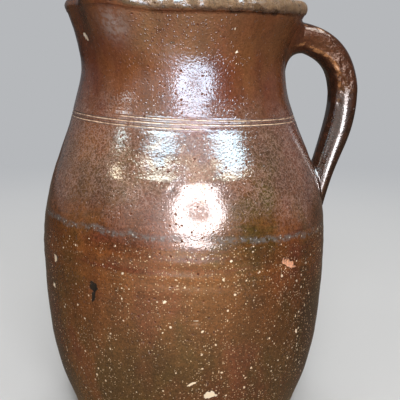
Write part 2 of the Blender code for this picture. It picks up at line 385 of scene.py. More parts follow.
def body_section():
    """Half section of the body, as radius and height, with shares: foot, outside, inside, rim.

    The rows run from the middle of the foot over the wall and the rim to the middle of the floor.
    They lie close together where the spiral is cut.
    """
    band_low, band_high = SPIRAL_TOP - BAND_BELOW, SPIRAL_TOP + BAND_ABOVE
    z = np.concatenate(
        [
            np.linspace(HEEL_ROUND, band_low, LOW_WALL_ROWS, endpoint=False),
            np.linspace(band_low, band_high, BAND_ROWS, endpoint=False),
            np.linspace(band_high, RIM_START[1], NECK_ROWS),
        ]
    )
    outside = np.column_stack([wall_radius(z), z])
    foot_radius = outside[0, 0] - FOOT_INSET
    across = np.linspace(0, foot_radius, FOOT_ROWS)[1:-1]
    foot = np.column_stack([across, np.zeros_like(across)])
    heel_half = (FOOT_INSET, HEEL_ROUND)
    heel = arc((foot_radius, HEEL_ROUND), heel_half, -math.pi / 2, 0, CORNER_ROWS)[:-1]
    rim = arc(RIM_CENTRE, RIM_HALF, -UNDERCUT, math.pi, RIM_ROWS)[1:]
    inside_z = np.linspace(RIM_START[1], FLOOR + INSIDE_CORNER, INSIDE_ROWS)
    inside = np.column_stack([wall_radius(inside_z) - WALL, inside_z])
    corner_half = (INSIDE_CORNER, INSIDE_CORNER)
    corner = arc(inside[-1] - (INSIDE_CORNER, 0), corner_half, 0, -math.pi / 2, CORNER_ROWS)[1:]
    across = np.linspace(corner[-1, 0], 0, FLOOR_ROWS)[1:-1]
    floor = np.column_stack([across, np.full_like(across, FLOOR)])
    runs = [(foot, 1, 0, 0, 0), (heel, 0.5, 0, 0, 0), (outside, 0, 1, 0, 0), (rim, 0, 0, 0, 1)]
    runs += [(inside, 0, 0, 1, 0), (corner, 0, 0, 1, 0), (floor, 0, 0, 1, 0)]
    section = np.vstack([run[0] for run in runs])
    shares = np.vstack([np.full((len(run[0]), 4), run[1:], float) for run in runs])
    return section, shares


def spiral_lean(azimuth):
    """How far the incised spiral lies below the level."""
    return SPIRAL_LEAN * np.sin(azimuth - SPIRAL_LEAN_AZIMUTH)


def spiral_cut(azimuth, z):
    """How deep the incised spiral is, 0 to 1, and how high its burr stands beside it."""
    cut, burr = 0, 0
    for turn in range(math.ceil(SPIRAL_TURNS)):
        past = np.mod(azimuth - SPIRAL_START, math.tau) + math.tau * turn
        line = SPIRAL_TOP - SPIRAL_PITCH * past / math.tau - spiral_lean(azimuth)
        left = SPIRAL_TURNS * math.tau - past
        strength = ease(left / SPIRAL_FADE) * ease(past / SPIRAL_FADE)
        gap = np.abs(z - line) / SPIRAL_HALF_WIDTH
        cut = np.maximum(cut, strength * hump(gap))
        burr = np.maximum(burr, strength * hump(gap, *BURR_PLACE))
    return cut, burr


def ring_height(azimuth, z):
    """Throwing rings: a slow spiral with an overtone, strong under the glaze line, and a ridge."""
    lean = GLAZE_LINE_LEAN * RING_LEAN_SHARE * np.sin(azimuth - SPIRAL_LEAN_AZIMUTH)
    turn = math.tau * (z + lean) / RING_PITCH + azimuth
    strength = RING_DEPTH + RING_EXTRA * hump(z, *RING_EXTRA_PLACE)
    uneven = 1 - RING_UNEVEN + RING_UNEVEN * waves(3, azimuth, z / RING_UNEVEN_LENGTH, 1, 4)
    size, rate, start = OVERTONE
    ring = np.cos(turn) + size * np.cos(rate * turn + start)
    return SHOULDER_RIDGE_RISE * hump(z, *SHOULDER_RIDGE) + uneven * strength * ring


def shift_rim(points):
    """Moves the rim and the top of the neck off the axis, and the handle's root with them."""
    x, y, z = np.moveaxis(points, -1, 0)
    away = np.hypot(x, y) - wall_radius(np.minimum(z, RIM_START[1]))
    share = ease(z, HEIGHT - RIM_SHIFT_DEPTH, RIM_SHIFT_DEPTH) * (1 - ease(away, WALL, SHIFT_REACH))
    move = RIM_SHIFT * np.array([math.cos(RIM_SHIFT_AZIMUTH), math.sin(RIM_SHIFT_AZIMUTH), 0])
    return points + share[..., None] * move


def pull_lip(points):
    """Moves the neck out and up under the lip, in at the pinch on each side, and leans the rim."""
    x, y, z = np.moveaxis(points, -1, 0)
    azimuth = np.arctan2(y, x)
    rise = np.maximum((z - (HEIGHT - LIP_THROAT)) / LIP_THROAT, 0)
    lift = rise**2 * (3 - 2 * np.minimum(rise, 1))
    turn = np.abs(turn_from(azimuth, LIP_AZIMUTH)) / LIP_HALF_ANGLE
    crest = np.cos(math.pi / 2 * np.minimum(turn, 1)) ** 2
    pinch = np.where(turn < 2, np.sin(math.pi / 2 * turn) ** 2, 0) * (1 - crest)
    radius = np.hypot(x, y)
    grow = 1 + lift * (LIP_REACH * crest - LIP_PINCH * pinch) / np.maximum(radius, WALL)
    lean = RIM_LEAN * ease(z, HEIGHT - RIM_LEAN_DEPTH, RIM_LEAN_DEPTH)
    up = LIP_RISE * crest * lift - lean * np.sin(azimuth - FRONT)
    return np.stack([x * grow, y * grow, z + up], axis=-1)


def press_bead(radius, z, azimuth, rim):
    """Rim radius with the underside of its bead pressed flat, to a straight chord, below the lip."""
    pressed = hump((turn_from(azimuth, PRESS_AZIMUTH) / PRESS_ANGLE) ** 2)
    share = (z - RIM_START[1]) / (RIM_CENTRE[1] - RIM_START[1])
    chord = RIM_START[0] + (RIM_RADIUS - RIM_START[0]) * share
    under = rim * (z < RIM_CENTRE[1]) * (radius > RIM_CENTRE[0])
    return radius + under * pressed * (chord - radius)


def thrown_body():
    """The turned wall: its section, carried round the axis and moved along its normal.

    What moves it are the throwing rings, the incised spiral with its burr, chips and slow lumps.
    """
    section, shares = body_section()
    run = np.gradient(section, axis=0)
    normal = np.column_stack([run[:, 1], -run[:, 0]])
    normal /= np.linalg.norm(normal, axis=1, keepdims=True)
    azimuth = np.linspace(0, math.tau, COLUMNS, endpoint=False)[None, :]
    radius, z = section[:, :1], section[:, 1:]
    foot, outside, inside, rim = (shares[:, k : k + 1] for k in range(4))
    z = z - outside * spiral_lean(azimuth) * hump(z, SPIRAL_TOP, SPIRAL_LEAN_REACH)
    radius = np.where(outside > 0, wall_radius(z), radius)
    radius = press_bead(radius, z, azimuth, rim)
    cut, burr = spiral_cut(azimuth, z)
    chips = mark_distance(CLAY_CHIPS, azimuth, z)
    pale = mark_distance(PALE_CHIPS_AND_GLINT, azimuth, z)
    soot = mark_distance(SOOT_MARKS, azimuth, z)
    dark = mark_distance(DARK_CHIPS, azimuth, z)
    dents = SMALL_CHIP_DEPTH * (hump(pale) + hump(soot) + hump(dark))
    dents = dents + CHIP_DEPTH * (hump(chips) + hump(mark_distance(DIMPLES, azimuth, z)))
    off = ring_height(azimuth, z) - SPIRAL_DEPTH * cut + SPIRAL_BURR * burr - dents
    for degrees, height, half_angle, half_height, out in HAND_LUMPS:
        turn = turn_from(azimuth, math.radians(degrees))
        off = off + out * hump(turn, 0, math.radians(half_angle)) * hump(z, height, half_height)
    swell = SWELL_DEPTH * np.tanh((z - SWELL_HEIGHT) / SWELL_HALF)
    off = off - swell * hump(turn_from(azimuth, FRONT), 0, SWELL_ANGLE)
    off = outside * (off + WALL_LUMP * waves(5, azimuth, z / WALL_LUMP_LENGTH))
    inner_ring = np.cos(math.tau * z / INSIDE_RING_PITCH - azimuth) * ease(radius / INSIDE_RING_START)
    off = off + inside * INSIDE_RING_DEPTH * inner_ring
    off = off + rim * RIM_LUMP * waves(8, 3 * azimuth, z / RIM_LUMP_LENGTH)
    out, up = radius + off * normal[:, :1], z + off * normal[:, 1:]
    points = np.stack([out * np.cos(azimuth), out * np.sin(azimuth), up], axis=-1)
    line = GLAZE_LINE_HEIGHT - GLAZE_LINE_LEAN * np.sin(azimuth - GLAZE_LINE_AZIMUTH)
    unworn = ease(np.abs(turn_from(azimuth, UNWORN_AZIMUTH)), *UNWORN_EDGE)
    worn_from = RIM_WEAR_HEIGHT - RIM_WEAR_LEAN * np.sin(azimuth - FRONT) + UNWORN_RISE * unworn
    crowd = SPECK_CROWD + SPECK_SWING * np.cos(azimuth - SPECK_AZIMUTH)
    fields = {
        "line_gap": z - line + GLAZE_LINE_WAVER * waves(11, azimuth, z),
        "rim_gap": z - worn_from,
        # painted sheen under the lip, a pale patch in place of a reflection
        "lip_sheen": outside * hump(azimuth, *LIP_SHEEN_AZIMUTH) * hump(z, *LIP_SHEEN_HEIGHT),
        "cut": outside * cut,
        "burr": outside * burr,
        "inside": inside,
        "foot": foot,
        "crowd": crowd * ease(z, *SPECKS_FROM),
        # how far a point faces the side that gets painted shade, 0 to 1
        "shade": 0.5 + 0.5 * np.cos(azimuth - SHADE_AZIMUTH),
        "chip": np.where(outside > 0, chips, FAR),
        "pale": np.where(outside > 0, pale, FAR),
        "soot": np.where(outside > 0, soot, FAR),
        "dark": np.where(outside + rim > 0, dark, FAR),
    }
    points = shift_rim(pull_lip(points))
    piece = add_piece("glazed_body", points, [(0, 0, 0), (0, 0, FLOOR)], fields)
    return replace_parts(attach(piece, "root"), "thrown_body")


def bezier(a, b, c, d, t):
    """Cubic curve from a to d, drawn towards b and c."""
    t = t[..., None]
    return a * (1 - t) ** 3 + 3 * b * t * (1 - t) ** 2 + 3 * c * t**2 * (1 - t) + d * t**3


def handle_path(t):
    """Radius and height of the handle's middle line; t runs 0 to 1 from the neck to the tail."""
    root_z, grip_z = HEIGHT - ROOT_DROP, HEIGHT - GRIP_DROP
    root = np.array([wall_radius(root_z) - WALL, root_z])
    corner = np.array([GRIP_REACH, root_z])
    grip = np.array([GRIP_REACH, grip_z])
    tail = np.array([wall_radius(TAIL_END_HEIGHT) - TAIL_THICKNESS, TAIL_END_HEIGHT])
    above, below = root_z - grip_z, grip_z - TAIL_END_HEIGHT
    up = np.array([0.0, 1.0])
    back = np.array([math.sin(TAIL_ANGLE), math.cos(TAIL_ANGLE)])
    upper = (root, corner, grip + GRIP_EASE_ABOVE * above * up, grip)
    lower = (grip, grip - GRIP_EASE_BELOW * below * up, tail + TAIL_EASE * below * back, tail)
    over = bezier(*upper, np.clip(2 * t, 0, 1))
    down = bezier(*lower, np.clip(2 * t - 1, 0, 1))
    return np.where(t[..., None] < 0.5, over, down)


def along(root, grip, tail, t):
    """A size that eases from its value at the root to the grip, then to the tail."""
    return root + (grip - root) * ease(2 * t) + (tail - grip) * ease(2 * t - 1)


def handle_point(t, phi):
    """Point on the handle: an egg-shaped section, its thick end outwards, carried along the path.

    phi turns from the outer face towards +Y.
    """
    centre = handle_path(t)
    run = handle_path(np.clip(t + SMALL_T, 0, 1)) - handle_path(np.clip(t - SMALL_T, 0, 1))
    run /= np.linalg.norm(run, axis=-1, keepdims=True)
    thickness = along(ROOT_THICKNESS, GRIP_THICKNESS, TAIL_THICKNESS, t)
    width = along(ROOT_WIDTH, GRIP_WIDTH, TAIL_WIDTH, t)
    power = 2 / SECTION_FULLNESS
    off = np.sign(np.cos(phi)) * np.abs(np.cos(phi)) ** power + SECTION_EGG * np.sin(phi) ** 2
    side = np.sign(np.sin(phi)) * np.abs(np.sin(phi)) ** power
    off, side = thickness / 2 * off, width / 2 * side
    x, z = centre[..., 0] - run[..., 1] * off, centre[..., 1] + run[..., 0] * off
    return np.stack([x, side, z], axis=-1)


def handle_normal(t, phi):
    """Outward normal of the handle's surface."""
    along_t = handle_point(t + SMALL_T, phi) - handle_point(t - SMALL_T, phi)
    along_phi = handle_point(t, phi + SMALL_T) - handle_point(t, phi - SMALL_T)
    normal = np.cross(along_t, along_phi)
    return normal / np.linalg.norm(normal, axis=-1, keepdims=True)


def trim(inside, outside, phi, gap):
    """The t at which each line of the loft is a gap clear of the wall, found by halving."""
    low, high = np.full_like(phi, inside), np.full_like(phi, outside)
    for _ in range(BISECTIONS):
        middle = (low + high) / 2
        point = handle_point(middle, phi)
        clear = np.hypot(point[:, 0], point[:, 1]) - wall_radius(point[:, 2]) > gap
        high = np.where(clear, middle, high)
        low = np.where(clear, low, middle)
    return high


def on_wall(azimuth, z, gap):
    """Points a gap off the outer face of the wall."""
    radius = wall_radius(z) + gap
    return np.stack([radius * np.cos(azimuth), radius * np.sin(azimuth), z], axis=-1)


PHI = np.linspace(0, math.tau, HANDLE_SIDES, endpoint=False)
ROOT_T = trim(0.0, 0.5, PHI, 0.0)
TAIL_T = trim(1.0, 0.5, PHI, 0.0)


def seat(ring):
    """Rings that shrink over the wall from the handle's edge, and the middle that they end in."""
    azimuth, z = np.arctan2(ring[:, 1], ring[:, 0]), ring[:, 2]
    middle = z.mean()
    shares = 1 - np.arange(1, CAP_RINGS) / CAP_RINGS
    rings = [on_wall(share * azimuth, middle + share * (z - middle), -SEAT_DEPTH) for share in shares]
    return rings, on_wall(np.zeros(1), np.array([middle]), -SEAT_DEPTH)[0]


def pulled_handle():
    """The pulled strap: sections lofted from the neck to the shoulder, with the pulling marks along it.

    A soft ridge runs along the inner edges. The strokes are ribs with a valley between, which fade
    out before the grip, and wrinkles cross the inner one.
    """
    root_t, tail_t = trim(0.0, 0.5, PHI, -SEAT_DEPTH), trim(1.0, 0.5, PHI, -SEAT_DEPTH)
    share = np.linspace(0, 1, HANDLE_RINGS)[:, None]
    t = root_t + share * (tail_t - root_t)
    phi = np.broadcast_to(PHI, t.shape)
    turn = np.abs(turn_from(phi))
    upper = ease(t, *UPPER_END) * ease(t, *UPPER_START)
    wander = STROKE_WANDER * np.sin(STROKE_WANDER_RATE * t)
    inner_stroke = hump(turn - wander, *INNER_STROKE)
    outer_stroke = hump(turn, *OUTER_STROKE) * ease(t, *OUTER_STROKE_END)
    wrinkles = hump(turn, *WRINKLES) * ease(t, *WRINKLES_START)
    wrinkles = wrinkles * waves(25, 7 * phi, 30 * t, 1, 4)
    valley = hump(turn - wander, *STROKE_VALLEY)
    strokes = 1.4 * inner_stroke + outer_stroke - 1.1 * valley + 1.3 * wrinkles
    nick = hump(t, *NICK_ALONG) * hump(turn_from(phi, NICK_TURN), 0, NICK_HALF_TURN)
    lumps = SLOW_LUMP * waves(21, phi, 6 * t, 1, 5) + QUICK_LUMP * waves(22, 4 * phi, 3 * t, 1, 4)
    off = INNER_RIDGE_RISE * hump(turn, *INNER_RIDGE) + STROKE_RISE * upper * strokes
    off = off + lumps - NICK_DEPTH * nick
    points = handle_point(t, phi) + off[..., None] * handle_normal(t, phi)
    first, first_pole = seat(points[0])
    last, last_pole = seat(points[-1])
    rows = np.concatenate([np.array(first[::-1]), points, np.array(last)])
    stroke = upper * np.maximum(inner_stroke, outer_stroke)
    pad = ((CAP_RINGS - 1, CAP_RINGS - 1), (0, 0))
    fields = {"along": t, "outer": np.cos(phi), "stroke": stroke}
    fields = {name: np.pad(values, pad, mode="edge")[::-1] for name, values in fields.items()}
    piece = add_piece("glazed_handle", shift_rim(rows[::-1]), [last_pole, first_pole], fields)
    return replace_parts(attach(piece, "root"), "pulled_handle")


def joint_clay(name, node, edge_t, inwards, reach_outer, reach_inner):
    """Luting clay round a root: a hollow face that runs off the handle's flank onto the wall.

    Its section is a quadratic curve, tangent to both, and its back lies just inside them. The reach goes
    from the handle's outer face to its inner face, and inwards is the sign of t towards the grip.
    """
    reach = reach_inner + (reach_outer - reach_inner) * (1 + np.cos(PHI)) / 2
    reach = reach * (1 + FILLET_UNEVEN * waves(31, PHI, 0 * PHI, 1, 4))
    edge = handle_point(edge_t, PHI)
    azimuth, z = np.arctan2(edge[:, 1], edge[:, 0]), edge[:, 2]
    flat = np.stack([wall_radius(z) * azimuth, z], axis=-1)
    run = np.roll(flat, -1, axis=0) - np.roll(flat, 1, axis=0)
    outwards = np.stack([run[:, 1], -run[:, 0]], axis=-1)
    outwards /= np.linalg.norm(outwards, axis=-1, keepdims=True)
    outwards *= np.sign(np.sum(outwards * (flat - flat.mean(axis=0)), axis=-1, keepdims=True))

    def wall_ring(distance, gap):
        spread = flat + outwards * distance[:, None]
        return on_wall(spread[:, 0] / wall_radius(spread[:, 1]), spread[:, 1], gap)

    step = handle_point(edge_t + inwards * SMALL_T, PHI) - edge
    climb = inwards * reach * SMALL_T / np.linalg.norm(step, axis=-1)

    def flank_ring(share, gap):
        t = edge_t + share * climb
        return handle_point(t, PHI) + gap * handle_normal(t, PHI)

    shares = np.linspace(0, 1, FILLET_STEPS + 1)
    top, bend, end = flank_ring(1.0, -FEATHER), edge, wall_ring(reach, -FEATHER)
    face = [top * (1 - s) ** 2 + bend * 2 * s * (1 - s) + end * s**2 for s in shares]
    back = [wall_ring(reach / 2, -FILLET_BACK), flank_ring(0.5, -FILLET_BACK)]
    turn = np.abs(turn_from(PHI))
    toe = np.append(shares, (1, 1))[:, None] + 0 * PHI
    strokes = hump(turn, INNER_STROKE[0], JOINT_STROKE_HALF) + hump(turn, *OUTER_STROKE)
    stroke = (1 - toe) * (edge_t < 0.5) * strokes
    order = slice(None, None, inwards)
    fields = {"along": edge_t, "outer": np.cos(PHI), "stroke": stroke[order], "toe": toe[order]}
    piece = add_piece(name, shift_rim(np.array(face + back)[order]), None, fields)
    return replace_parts(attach(piece, "root"), node)


class Coat:
    """A material or a world in the making: a call adds a node and gives back its output.

    Where a number or a share is asked for, a tuple stands for a ramp with these values.
    """

    def __init__(self, owner, place="Object"):
        owner.use_nodes = True
        self.owner, self.tree, self.colour = owner, owner.node_tree, None
        nodes = self.tree.nodes
        self.shader = nodes.get("Principled BSDF") or nodes.get("Background")
        self.place = self.node("ShaderNodeTexCoord", output=place)

    def feed(self, sockets, inputs):
        """Gives sockets their inputs: an output is linked, and a value is set."""
        for key, value in dict(inputs).items():
            if isinstance(value, bpy.types.NodeSocket):
                self.tree.links.new(value, sockets[key])
            else:
                sockets[key].default_value = value

    def node(self, kind, inputs=(), output=0, **settings):
        """An output of a new node with these inputs and settings."""
        made = self.tree.nodes.new(kind)
        for key, value in settings.items():
            setattr(made, key, value)
        self.feed(made.inputs, inputs)
        return made.outputs[output]

    def field(self, name):
        """A number that the piece carries on its points."""
        return self.node("ShaderNodeAttribute", (), "Fac", attribute_name=name)

    def drawn(self, *scale):
        """The place scaled along each axis: a pattern on it is drawn out where the scale is small."""
        return self.node("ShaderNodeMapping", {"Vector": self.place, "Scale": scale})

    def noise(self, scale, detail=3.0, shift=0.0, roughness=0.55, place=None):
        """Cloudy noise with about scale lumps to the metre; shift moves it elsewhere."""
        start = self.place if place is None else place
        moved = self.node("ShaderNodeMapping", {"Vector": start, "Location": (shift,) * 3})
        inputs = {"Vector": moved, "Scale": scale, "Detail": detail, "Roughness": roughness}
        return self.node("ShaderNodeTexNoise", inputs)

    def cells(self, scale, place):
        """Distance to the nearest of scattered points, scale to the metre, and its random number."""
        distance = self.node("ShaderNodeTexVoronoi", {"Vector": place, "Scale": scale}, "Distance")
        return distance, self.node("ShaderNodeSeparateColor", {0: distance.node.outputs["Color"]})

    def ramp(self, value, low, high, start=0.0, end=1.0):
        """A smooth step of a number from start at low to end at high."""
        inputs = {"Value": value, "From Min": low, "From Max": high, "To Min": start, "To Max": end}
        return self.node("ShaderNodeMapRange", inputs, interpolation_type="SMOOTHSTEP")

    def number(self, value):
        """A value or an output as it is, or the ramp that a tuple stands for."""
        return self.ramp(*value) if isinstance(value, tuple) else value

    def swing(self, noise, reach):
        """Noise turned into a number that swings by the reach to both sides."""
        return self.ramp(noise, 0.3, 0.7, -reach, reach)

    def math(self, operation, first, *others):
        """Numbers put together, one after the other, by a named operation."""
        first = self.number(first)
        for other in others:
            first = self.node("ShaderNodeMath", {0: first, 1: self.number(other)}, operation=operation)
        return first

    def times(self, *numbers):
        """The product of numbers."""
        return self.math("MULTIPLY", *numbers)

    def plus(self, *numbers):
        """The sum of numbers."""
        return self.math("ADD", *numbers)

    def most(self, *numbers):
        """The largest of numbers."""
        return self.math("MAXIMUM", *numbers)

    def mix(self, share, first, second, blend="MIX"):
        """Two colours, linear triples or outputs, mixed by a share."""
        first, second = ((*c, 1) if isinstance(c, tuple) else c for c in (first, second))
        inputs = {0: self.number(share), 6: first, 7: second}
        return self.node("ShaderNodeMix", inputs, 2, data_type="RGBA", blend_type=blend)

    def lay(self, colour, *shares):
        """Lays a colour over those before it, by the product of the shares."""
        self.colour = self.mix(self.times(*shares), self.colour, colour)

    def tone(self, factor, share):
        """Darkens and lightens the colour by a factor about 1, by a share."""
        self.colour = self.mix(share, self.colour, self.number(factor), "MULTIPLY")

    def grain(self, colour, contrast, share=1.0):
        """A colour with fine mottle, darker and lighter from spot to spot by a contrast."""
        share = self.number(share)
        for noise, depth in ((1000, 2.0, 0.7), contrast), ((360, 3.0, 1.9), 0.5 * contrast):
            mottle = self.ramp(self.noise(*noise), 0.30, 0.70, 1 - depth, 1 + depth)
            colour = self.mix(share, colour, mottle, "MULTIPLY")
        return colour

    def bump(self, height, distance, under=None):
        """Fine relief: a height from 0 to 1, worth the distance in metres."""
        inputs = {"Height": height, "Distance": distance, "Strength": 1.0}
        if under is not None:
            inputs["Normal"] = under
        return self.node("ShaderNodeBump", inputs)


NECK_BROWN = srgb(124, 76, 48)
SHOULDER_PLUM = srgb(116, 80, 63)
BELLY_RUST = srgb(112, 67, 34)
LOW_OLIVE = srgb(95, 69, 37)
ORANGE_BLUSH = srgb(136, 80, 40)
RED_BLUSH = srgb(112, 58, 40)
OLIVE_BLUSH = srgb(86, 72, 36)
DEEP_BROWN = srgb(76, 48, 28)
# Pale grey of the painted sheen under the lip
PAINTED_SHEEN_GREY = srgb(160, 142, 136)
DUST_TAN = srgb(228, 196, 158)
# Pale pink of the painted lustre: sheen and glints laid as colour
PAINTED_LUSTRE_PINK = srgb(190, 154, 138)
LINE_GREY = srgb(118, 112, 108)
LINE_WHITE = srgb(206, 198, 186)
SPECK_CREAM = srgb(255, 234, 204)
CUT_TAN = srgb(238, 210, 180)
# Dark brown of painted shade under the rim, beside the spiral, in pits and round a chip, and of dark
# chips
DARK_CHIP_AND_SHADE = srgb(64, 38, 24)
RIM_TAN = srgb(104, 80, 57)
RIM_BROWN = srgb(70, 50, 36)
INSIDE_BROWN = srgb(84, 52, 34)
BARE_CLAY = srgb(168, 142, 112)
CHIP_ORANGE = srgb(212, 146, 106)
# Cream of the pale chips and of the painted glint
CHIP_AND_GLINT_CREAM = srgb(250, 228, 196)
SOOT = srgb(26, 24, 24)
ROOT_BROWN = srgb(84, 51, 36)
HANDLE_DARK = srgb(50, 33, 24)
HANDLE_BROWN = srgb(78, 47, 33)
HANDLE_TAN = srgb(172, 122, 82)
SHEEN_BLUE = (0.68, 0.90, 1.0)
SHEEN_WARM = (1.0, 0.95, 0.76)
SHEEN_VIOLET = (0.63, 0.82, 1.0)
SHEEN_PLAIN = (1.0, 0.98, 0.97)
SHEEN_WORN = (0.36, 0.28, 0.23)
SHEEN_RIM = (0.42, 0.36, 0.28)
SHEEN_PIT = (0.15, 0.14, 0.13)
GLAZE_IOR = 1.62
BARE_ROUGHNESS = 0.75
BODY_GRAIN = 0.34
CHIP_GRAIN = 0.35
PLAIN_GRAIN = 0.25
BODY_PEEL = 0.00013
HANDLE_PEEL = 0.00006
HANDLE_LUMP = 0.0006
PIT_DEPTH = 0.00015

# Grains: points to the metre, least and most width in cells, share of the points that have one
DUST = (860, 0.14, 0.38, 0.7)
SMALL_SPECKS = (270, 0.08, 0.22, 0.9)
LARGE_SPECKS = (115, 0.04, 0.11, 0.6)
RARE_SPECKS = (62, 0.03, 0.06, 0.6)
LINE_CRUMBS = (620, 0.15, 0.42, 0.5)
BODY_PITS = (330, 0.14, 0.30, 0.7)
HANDLE_PITS = (380, 0.06, 0.17, 0.5)
SPECK_RAGGED = 0.3
SPECK_LEAST = 0.001

# How far the glaze's bands wander, and the slip line's width from where it fades to where it is full
BAND_WANDER = 0.006
FILM_WANDER = 0.012
LINE_WANDER = 0.0012
LINE_WIDTH = (0.0028, 0.0006)

# Bands of the rim, as heights from where its wear starts
RIM_WANDER = 0.0008
RIM_EDGE = (-0.0004, 0.0004)
RIM_SHADE = (-0.0020, -0.0006)
RIM_WEAR = (0.0002, 0.0032)


def specks(coat, scale, least, most, share, crowd=1.0):
    """Ragged grains, more small than large, that shrink where they don't crowd.

    A share of the scattered points has one, least to most cells wide.
    """
    inputs = {"Vector": coat.place, "Scale": 1.6 * scale, "Detail": 1.0}
    ragged = coat.node("ShaderNodeTexNoise", inputs, 1)
    shift = coat.node("ShaderNodeVectorMath", {0: ragged, 1: (0.5, 0.5, 0.5)}, operation="SUBTRACT")
    inputs = {0: shift, 1: (SPECK_RAGGED / scale,) * 3, 2: coat.place}
    place = coat.node("ShaderNodeVectorMath", inputs, operation="MULTIPLY_ADD")
    distance, random = coat.cells(scale, place)
    rank = coat.math("POWER", (random, 1 - share, 1), 2)
    radius = coat.most(coat.times((rank, 0, 1, least, most), crowd), SPECK_LEAST)
    edge = coat.math("DIVIDE", distance, radius)
    return coat.times((edge, 1, 0.6), coat.math("GREATER_THAN", random, 1 - share))


def orange_peel(coat, peel, pits, share=1.0, under=None):
    """The glaze's skin as relief: slow waves, dimples and low domes by a share of the peel, and pits."""
    slow = coat.bump(coat.noise(110, 2, 0.3), 0.5 * peel, under)
    dimples = coat.bump(coat.times(coat.noise(680, 2), share), peel, slow)
    distance, random = coat.cells(760, coat.place)
    dome = coat.times((distance, 0.5, 0), (random, 0.2, 1), share)
    domes = coat.bump(dome, 0.9 * peel, dimples)
    return coat.bump(coat.math("SUBTRACT", 1, pits), PIT_DEPTH, domes)


def ground_glaze(coat, line_gap, height, shoulder):
    """Colour of the body's glaze under its marks, by height from the glaze line.

    The ground gets blushes, more orange with painted light on the lit side and deeper with painted
    shade on the shaded one, a painted shade low on that side, streaks along the throwing rings and
    runs down the wall, then painted sheen of the lustre as pale pink specks and threads, and clouds
    on the shoulder.
    """
    # Painted light and shade by side: the left side painted lit, the right side, towards the handle,
    # painted shaded
    shade = coat.field("shade")
    painted_lit_side, painted_shaded_side = coat.ramp(shade, 0.9, 0.3), coat.ramp(shade, 0.2, 0.8)
    upright = coat.drawn(1.5, 1.5, 0.9)
    warm, olive, red, deep = (coat.noise(15, 4, at, 0.6, upright) for at in (1.7, 4.1, 7.3, 9.6))
    coat.colour = NECK_BROWN
    coat.lay(SHOULDER_PLUM, (height, 0.084, 0.058))
    coat.lay(BELLY_RUST, (line_gap, 0.0012, -0.0012))
    coat.lay(LOW_OLIVE, (height, -0.045, -0.085))
    # Orange blush, stronger on the lit side: partly painted light
    coat.lay(ORANGE_BLUSH, (warm, 0.42, 0.62, 0, 0.85), (painted_lit_side, 0, 1, 0.35, 1))
    coat.lay(OLIVE_BLUSH, (olive, 0.46, 0.66), (height, 0.07, 0.02, 0.2, 1), (painted_lit_side, 0, 1, 1, 0.45))
    # Deep brown blotches, stronger on the shaded side, and a deep brown low on it: painted shade
    deep = coat.times((deep, 0.48, 0.64), (height, 0.03, -0.02, 0, 0.75), (painted_shaded_side, 0, 1, 0.15, 1))
    coat.lay(DEEP_BROWN, coat.most(deep, coat.times(painted_shaded_side, (height, -0.02, -0.06, 0, 0.45))))
    coat.lay(RED_BLUSH, (red, 0.45, 0.64, 0, 0.68))
    ringed = coat.times((line_gap, 0.020, 0.006), (line_gap, -0.045, -0.015))
    streak = coat.noise(13, 4, 2.2, 0.6, coat.drawn(1, 1, 10))
    coat.lay(ORANGE_BLUSH, ringed, (streak, 0.48, 0.66, 0, 0.6))
    coat.lay(RED_BLUSH, ringed, (streak, 0.50, 0.34, 0, 0.6))
    runs = coat.noise(95, 4, 4.4, 0.6, coat.drawn(1, 1, 0.22))
    coat.tone((runs, 0.34, 0.66, 0.84, 1.12), coat.math("SUBTRACT", 1, shoulder))
    coat.colour = coat.grain(coat.colour, BODY_GRAIN, (height, 0.085, 0.055, 0.5, 1))
    # Painted sheen and glints of the lustre: pale pink specks and threads on the shoulder, fainter on
    # the shaded side
    painted_lustre = coat.times((coat.noise(1100, 2), 0.42, 0.70, 0, 0.48), shoulder)
    coat.lay(PAINTED_LUSTRE_PINK, painted_lustre, (olive, 0.35, 0.6, 1, 0.55), (painted_shaded_side, 0.3, 1, 1, 0.45))
    thread = coat.math("ABSOLUTE", coat.math("SUBTRACT", coat.noise(420, 3, 6.4), 0.5), 0)
    coat.lay(PAINTED_LUSTRE_PINK, (thread, 0.05, 0.01, 0, 0.48), shoulder)
    coat.tone((coat.noise(42, 3, 3.7), 0.34, 0.66, 0.80, 1.14), shoulder)


def glaze_marks(coat, line_gap, middle):
    """Adds the broken slip line and its crumbs, dust, specks, the painted sheen under the lip, the
    spiral with painted shade on its burr, and the inside.
    """
    gap = coat.math("ABSOLUTE", coat.plus(line_gap, coat.swing(middle, LINE_WANDER)), 0)
    breaks = coat.noise(330, 6, 2.7, 0.7)
    line = coat.times((gap, *LINE_WIDTH), (breaks, 0.38, 0.62, 0, 0.82))
    coat.lay(LINE_GREY, line)
    coat.lay(LINE_WHITE, specks(coat, *LINE_CRUMBS), (line, 0.1, 0.5))
    crowd = coat.times(coat.field("crowd"), (coat.noise(38, 3, 6.1), 0.36, 0.60, 0.66, 1.06))
    coat.lay(DUST_TAN, specks(coat, *DUST, crowd), 0.8)
    small, large = (specks(coat, *size, crowd) for size in (SMALL_SPECKS, LARGE_SPECKS))
    coat.lay(SPECK_CREAM, coat.most(small, large, specks(coat, *RARE_SPECKS)))
    # Painted sheen: a pale grey patch under the lip that stands in for a reflection on its bulge
    coat.lay(PAINTED_SHEEN_GREY, coat.field("lip_sheen"), (coat.noise(380, 4, 5.5), 0.36, 0.62, 0.25, 0.95))
    # Painted shade along the incised spiral, laid on its burr
    coat.lay(DARK_CHIP_AND_SHADE, coat.field("burr"), 0.8)
    breaks = coat.noise(300, 5, 3.3)
    coat.lay(CUT_TAN, (coat.field("cut"), 0.35, 0.75), (breaks, 0.36, 0.58, 0.25, 1))
    coat.lay(INSIDE_BROWN, (coat.field("inside"), 0, 0.2))


